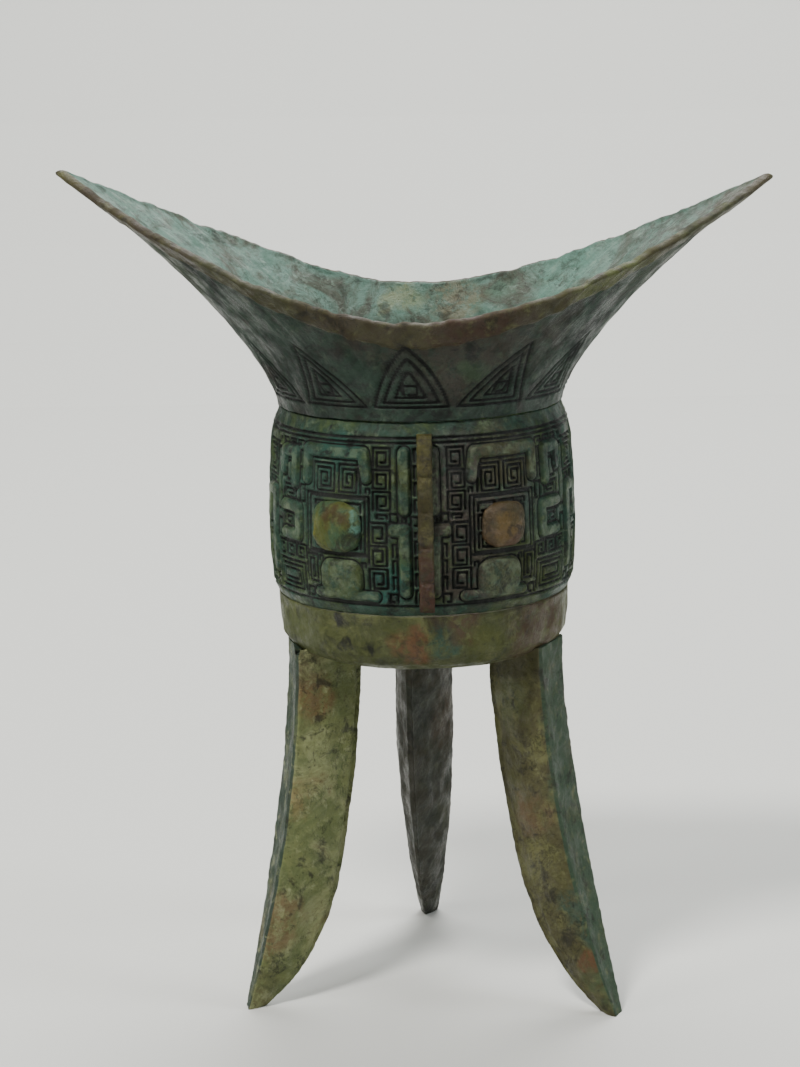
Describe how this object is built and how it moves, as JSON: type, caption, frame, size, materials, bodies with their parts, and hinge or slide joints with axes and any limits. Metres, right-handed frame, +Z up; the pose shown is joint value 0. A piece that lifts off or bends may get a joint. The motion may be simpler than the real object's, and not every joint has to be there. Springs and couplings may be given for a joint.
{
  "type": "bronze jiao wine vessel",
  "caption": "Footed bronze wine vessel with a two-pointed open mouth, a band of relief, tapering blade legs and a loop handle.",
  "frame": {"origin": "on the table under the middle of the vessel's outline", "axes": "+Z up; the wings point along X, the flange faces -Y and the handle is at +Y"},
  "size_m": [0.175, 0.1088, 0.2095],
  "materials": {
    "mouth_patina": "dark green-black patina outside, pale blue-green inside",
    "lip_patina": "olive and red-brown patina with yellow-green patches",
    "drum_patina": "blue-green and grey-brown corroded relief",
    "base_patina": "olive green patina with black spots and pink-brown patches",
    "leg_patina": "pale yellow-green patina with brown mottles and black cracks",
    "flange_patina": "golden yellow to red-brown patina",
    "handle_patina": "dark olive patina",
    "eye_patina": "tan and green-yellow worn patina"
  },
  "bodies": {
    "root": {"mouth_flare": "mouth_patina", "rim_lip": "lip_patina", "belly_drum": "drum_patina", "base_bowl": "base_patina", "leg_front_left": "leg_patina", "leg_front_right": "leg_patina", "leg_rear": "leg_patina", "front_flange": "flange_patina", "handle_loop": "handle_patina", "handle_beast_head": "handle_patina", "eye_boss_front_left": "eye_patina", "eye_boss_front_right": "eye_patina", "eye_boss_rear_left": "eye_patina", "eye_boss_rear_right": "eye_patina"}
  },
  "joints": []
}
